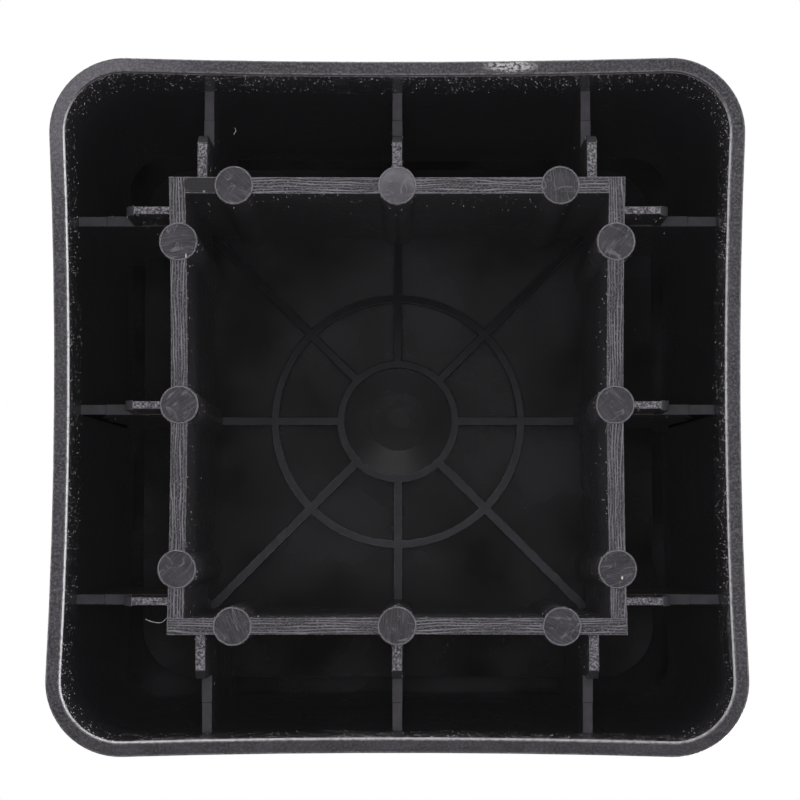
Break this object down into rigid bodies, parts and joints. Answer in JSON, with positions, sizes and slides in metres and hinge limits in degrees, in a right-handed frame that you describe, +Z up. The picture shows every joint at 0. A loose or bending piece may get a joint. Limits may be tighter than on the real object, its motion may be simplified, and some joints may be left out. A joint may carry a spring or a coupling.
{
  "type": "bed riser",
  "caption": "Square moulded plastic riser that lifts a bed or furniture leg 76 mm, with a leg recess on top and a ribbed hollow underside that stacks on another.",
  "frame": {"origin": "floor level, under the middle of the foot", "axes": "+Z up, from the foot rim to the leg recess; X and Y along the sides"},
  "size_m": [0.14, 0.14, 0.0942],
  "materials": {
    "black_plastic": "satin moulded"
  },
  "bodies": {
    "root": {"riser_body": "black_plastic"}
  },
  "joints": []
}
